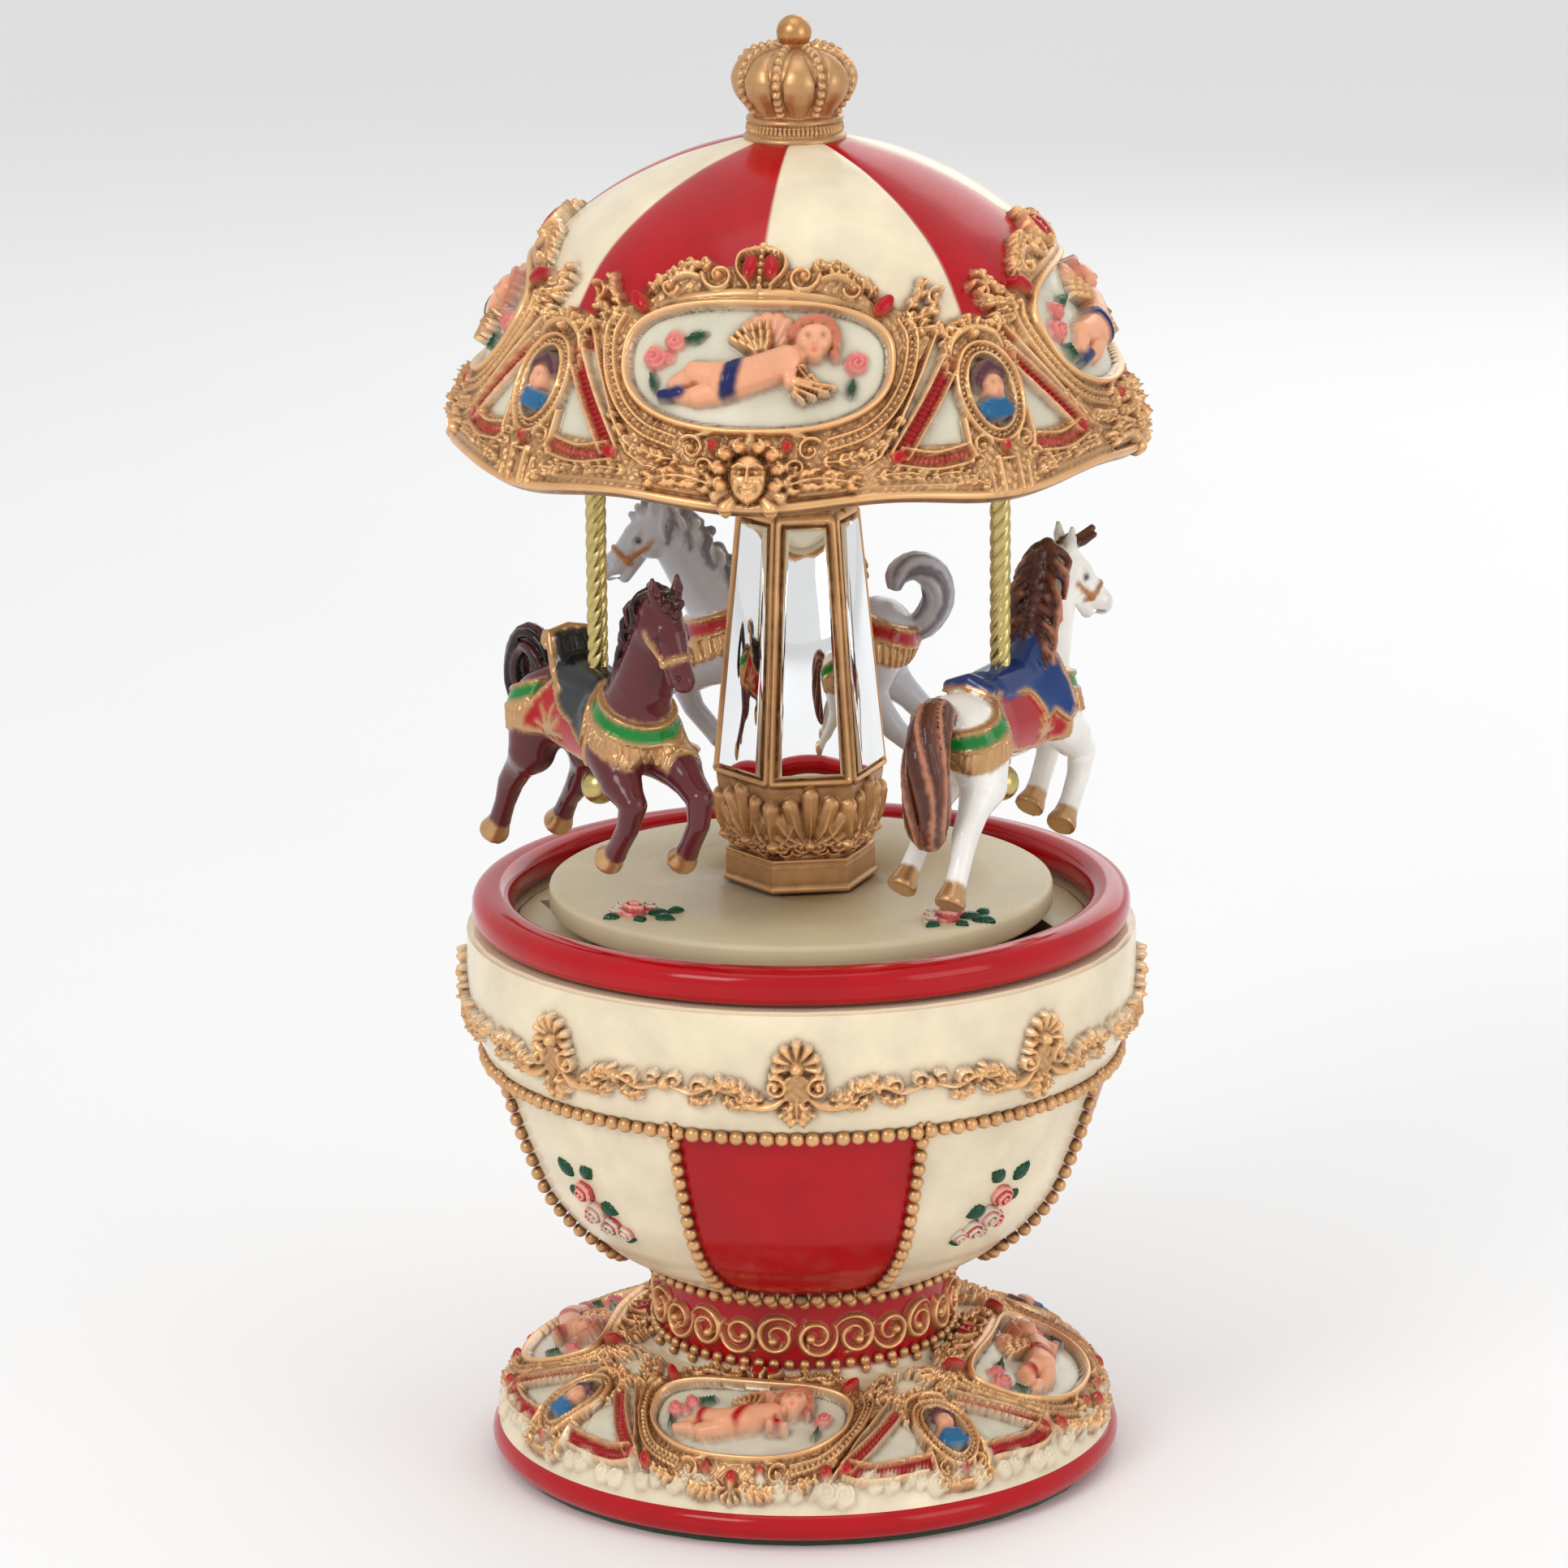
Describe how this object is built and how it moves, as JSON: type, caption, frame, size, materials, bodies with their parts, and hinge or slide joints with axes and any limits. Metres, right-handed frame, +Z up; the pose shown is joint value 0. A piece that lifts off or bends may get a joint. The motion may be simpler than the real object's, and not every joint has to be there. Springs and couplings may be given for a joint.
{
  "type": "carousel music box",
  "caption": "Footed egg-shaped music box whose wind-up movement turns a domed carousel with leaping horses, mirrored column and gilt crown.",
  "frame": {"origin": "centre of the underside, on the surface that the music box stands on", "axes": "+Z up along the axis that the carousel turns about; the front faces -Y"},
  "size_m": [0.096, 0.096, 0.21],
  "materials": {
    "cream_enamel": "glossy cream enamel paint over cast resin",
    "red_enamel": "glossy crimson enamel paint over cast resin",
    "antique_gold": "antique gold paint with brown wash over cast resin",
    "beige_resin": "satin beige cast resin",
    "brown_paint": "glossy brown paint over cast resin",
    "white_paint": "satin white paint over cast resin",
    "grey_paint": "satin light grey paint over cast resin",
    "mirror_glass": "silvered bevelled glass",
    "pole_brass": "polished twisted brass",
    "movement_brass": "plain brass",
    "steel": "bright steel",
    "felt": "dense green wool felt"
  },
  "bodies": {
    "stand": {"base_felt": "felt", "foot_shell": "cream_enamel", "neck_collar": "red_enamel", "bowl_shell": "cream_enamel", "rim_ring": "red_enamel", "inner_deck": "beige_resin", "movement_plate": "movement_brass", "steel_comb": "steel", "barrel_bridge": "movement_brass", "governor_frame": "movement_brass", "movement_screw_1": "steel", "movement_screw_2": "steel", "movement_screw_3": "steel", "comb_screw_1": "steel", "comb_screw_2": "steel", "bridge_screw_1": "steel", "bridge_screw_2": "steel"},
    "carousel": {"spring_barrel": "movement_brass", "mainspring": "steel", "output_shaft": "steel", "drive_nut": "steel", "platform": "beige_resin", "mirror_column": "antique_gold", "mirror_1": "mirror_glass", "mirror_2": "mirror_glass", "mirror_3": "mirror_glass", "mirror_4": "mirror_glass", "mirror_5": "mirror_glass", "mirror_6": "mirror_glass", "canopy_ceiling": "cream_enamel", "canopy_shell": "cream_enamel", "crown_finial": "antique_gold", "pole_1": "pole_brass", "pole_2": "pole_brass", "pole_3": "pole_brass", "pole_ball_1": "pole_brass", "pole_ball_2": "pole_brass", "pole_ball_3": "pole_brass", "horse_brown": "brown_paint", "horse_white": "white_paint", "horse_grey": "grey_paint"},
    "cylinder": {"pin_cylinder": "movement_brass", "cylinder_arbor": "steel"},
    "governor_wheel": {"governor_wheel": "movement_brass"},
    "governor_fly": {"governor_fly": "movement_brass"},
    "winder": {"key_stem": "steel", "winding_key": "movement_brass"}
  },
  "joints": [
    {"name": "carousel_spin", "type": "hinge", "parent": "stand", "child": "carousel", "pos_m": [0, 0, 0.085], "axis": [0, 0, 1], "continuous": true},
    {"name": "winding_key_turn", "type": "hinge", "parent": "stand", "child": "winder", "pos_m": [0, 0, 0.006], "axis": [0, 0, 1], "continuous": true},
    {"name": "cylinder_spin", "type": "hinge", "parent": "stand", "child": "cylinder", "pos_m": [0, 0, 0.06149], "axis": [0.9397, 0.342, 0], "continuous": true},
    {"name": "governor_wheel_spin", "type": "hinge", "parent": "stand", "child": "governor_wheel", "pos_m": [-0.0039, 0.01071, 0.06149], "axis": [0.9397, 0.342, 0], "continuous": true},
    {"name": "governor_fly_spin", "type": "hinge", "parent": "stand", "child": "governor_fly", "pos_m": [0.01368, 0.02264, 0.06149], "axis": [0, 0, 1], "continuous": true}
  ],
  "couplings": [
    {"joint": "cylinder_spin", "follows": "carousel_spin", "ratio": 2.5},
    {"joint": "governor_wheel_spin", "follows": "carousel_spin", "ratio": -6.25},
    {"joint": "governor_fly_spin", "follows": "carousel_spin", "ratio": -100}
  ]
}
